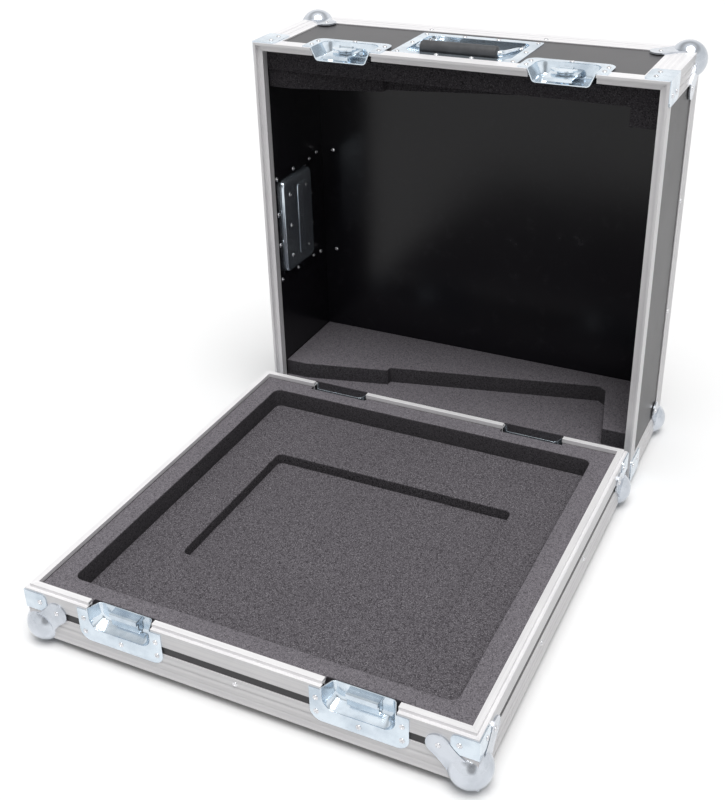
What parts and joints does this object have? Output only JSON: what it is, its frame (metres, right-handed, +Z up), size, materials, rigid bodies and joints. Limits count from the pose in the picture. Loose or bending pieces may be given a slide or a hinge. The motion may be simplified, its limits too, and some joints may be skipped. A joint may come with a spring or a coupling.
{
  "type": "mixer flight case",
  "caption": "Square flight case for a mixing desk: shallow foam-lined base, deep lift-off lid with recessed latches, spring handles and steel ball corners.",
  "frame": {"origin": "centre of the base's underside, on the bottom panel", "axes": "+Z up, +X to the right, -Y towards the front; the lid stands behind at +Y"},
  "size_m": [0.5834, 0.7838, 0.5834],
  "materials": {
    "black_laminate": "birch plywood faced with smooth black laminate",
    "aluminium_extrusion": "satin anodised",
    "zinc_plated_steel": "bright zinc plate with a bluish sheen",
    "rivet_steel": "bright",
    "spring_steel": "oiled",
    "grip_rubber": "matt moulded",
    "black_foam": "closed-cell polyethylene foam, sawn surface"
  },
  "bodies": {
    "base": {"base_ball_corners": "zinc_plated_steel", "base_bottom_panel": "black_laminate", "base_corner_angles": "aluminium_extrusion", "base_corner_braces": "zinc_plated_steel", "base_foam_bottom": "black_foam", "base_foam_frame": "black_foam", "base_foam_inner_tray": "black_foam", "base_front_edge_profile": "aluminium_extrusion", "base_front_panel": "black_laminate", "base_front_tongue_profile": "aluminium_extrusion", "base_left_panel": "black_laminate", "base_rear_edge_profile": "aluminium_extrusion", "base_rear_panel": "black_laminate", "base_rear_tongue_profile": "aluminium_extrusion", "base_right_panel": "black_laminate", "base_rivets": "rivet_steel", "base_side_edge_profiles": "aluminium_extrusion", "base_side_tongue_profiles": "aluminium_extrusion", "front_catch_dishes": "zinc_plated_steel", "rear_catch_dishes": "zinc_plated_steel"},
    "lid": {"front_handle_dish": "zinc_plated_steel", "front_handle_springs": "spring_steel", "left_handle_dish": "zinc_plated_steel", "left_handle_springs": "spring_steel", "lid_ball_corners": "zinc_plated_steel", "lid_corner_angles": "aluminium_extrusion", "lid_corner_braces": "zinc_plated_steel", "lid_front_edge_profile": "aluminium_extrusion", "lid_front_foam_cheek": "black_foam", "lid_front_foam_liner": "black_foam", "lid_front_groove_profile": "aluminium_extrusion", "lid_front_panel": "black_laminate", "lid_latch_dishes": "zinc_plated_steel", "lid_left_panel": "black_laminate", "lid_rear_edge_profile": "aluminium_extrusion", "lid_rear_foam_cheek": "black_foam", "lid_rear_foam_liner": "black_foam", "lid_rear_groove_profile": "aluminium_extrusion", "lid_rear_panel": "black_laminate", "lid_right_panel": "black_laminate", "lid_rivets": "rivet_steel", "lid_roof_panel": "black_laminate", "lid_side_edge_profiles": "aluminium_extrusion", "lid_side_groove_profiles": "aluminium_extrusion"},
    "front_left_rotor": {"front_left_latch_rotor": "zinc_plated_steel"},
    "front_left_wing": {"front_left_latch_wing": "zinc_plated_steel"},
    "front_left_hook": {"front_left_latch_hook": "zinc_plated_steel"},
    "front_right_rotor": {"front_right_latch_rotor": "zinc_plated_steel"},
    "front_right_wing": {"front_right_latch_wing": "zinc_plated_steel"},
    "front_right_hook": {"front_right_latch_hook": "zinc_plated_steel"},
    "rear_left_rotor": {"rear_left_latch_rotor": "zinc_plated_steel"},
    "rear_left_wing": {"rear_left_latch_wing": "zinc_plated_steel"},
    "rear_left_hook": {"rear_left_latch_hook": "zinc_plated_steel"},
    "rear_right_rotor": {"rear_right_latch_rotor": "zinc_plated_steel"},
    "rear_right_wing": {"rear_right_latch_wing": "zinc_plated_steel"},
    "rear_right_hook": {"rear_right_latch_hook": "zinc_plated_steel"},
    "front_bail": {"front_handle_bail": "zinc_plated_steel", "front_handle_grip": "grip_rubber"},
    "left_bail": {"left_handle_bail": "zinc_plated_steel", "left_handle_grip": "grip_rubber"}
  },
  "joints": [
    {"name": "lid_lift", "type": "slide", "parent": "base", "child": "lid", "axis": [0, 0, 1], "range_m": [0, 0.3]},
    {"name": "front_left_turn", "type": "hinge", "parent": "lid", "child": "front_left_rotor", "pos_m": [-0.149, 0.324, 0.5585], "axis": [0, 0, 1], "range_deg": [0, 180]},
    {"name": "front_left_fold", "type": "hinge", "parent": "front_left_rotor", "child": "front_left_wing", "pos_m": [-0.149, 0.324, 0.5576], "axis": [-1, 0, 0], "range_deg": [0, 90]},
    {"name": "front_left_draw", "type": "slide", "parent": "lid", "child": "front_left_hook", "axis": [0, -1, 0], "range_m": [0, 0.008]},
    {"name": "front_right_turn", "type": "hinge", "parent": "lid", "child": "front_right_rotor", "pos_m": [0.149, 0.324, 0.5585], "axis": [0, 0, 1], "range_deg": [0, 180]},
    {"name": "front_right_fold", "type": "hinge", "parent": "front_right_rotor", "child": "front_right_wing", "pos_m": [0.149, 0.324, 0.5576], "axis": [-1, 0, 0], "range_deg": [0, 90]},
    {"name": "front_right_draw", "type": "slide", "parent": "lid", "child": "front_right_hook", "axis": [0, -1, 0], "range_m": [0, 0.008]},
    {"name": "rear_left_turn", "type": "hinge", "parent": "lid", "child": "rear_left_rotor", "pos_m": [-0.149, 0.324, -0.0015], "axis": [0, 0, -1], "range_deg": [0, 180]},
    {"name": "rear_left_fold", "type": "hinge", "parent": "rear_left_rotor", "child": "rear_left_wing", "pos_m": [-0.149, 0.324, -0.0006], "axis": [1, 0, 0], "range_deg": [0, 90]},
    {"name": "rear_left_draw", "type": "slide", "parent": "lid", "child": "rear_left_hook", "axis": [0, -1, 0], "range_m": [0, 0.008]},
    {"name": "rear_right_turn", "type": "hinge", "parent": "lid", "child": "rear_right_rotor", "pos_m": [0.149, 0.324, -0.0015], "axis": [0, 0, -1], "range_deg": [0, 180]},
    {"name": "rear_right_fold", "type": "hinge", "parent": "rear_right_rotor", "child": "rear_right_wing", "pos_m": [0.149, 0.324, -0.0006], "axis": [1, 0, 0], "range_deg": [0, 90]},
    {"name": "rear_right_draw", "type": "slide", "parent": "lid", "child": "rear_right_hook", "axis": [0, -1, 0], "range_m": [0, 0.008]},
    {"name": "front_bail_swing", "type": "hinge", "parent": "lid", "child": "front_bail", "pos_m": [0, 0.411, 0.5517], "axis": [-1, 0, 0], "range_deg": [0, 95], "stiffness_Nm_per_rad": 0.8, "springref_deg": -28.65},
    {"name": "left_bail_swing", "type": "hinge", "parent": "lid", "child": "left_bail", "pos_m": [-0.2732, 0.411, 0.2785], "axis": [0, 0, -1], "range_deg": [0, 95], "stiffness_Nm_per_rad": 0.8, "springref_deg": -28.65}
  ],
  "couplings": [
    {"joint": "front_left_turn", "follows": "front_left_draw", "rad_per_m": 392.7},
    {"joint": "front_right_turn", "follows": "front_right_draw", "rad_per_m": 392.7},
    {"joint": "rear_left_turn", "follows": "rear_left_draw", "rad_per_m": 392.7},
    {"joint": "rear_right_turn", "follows": "rear_right_draw", "rad_per_m": 392.7}
  ]
}
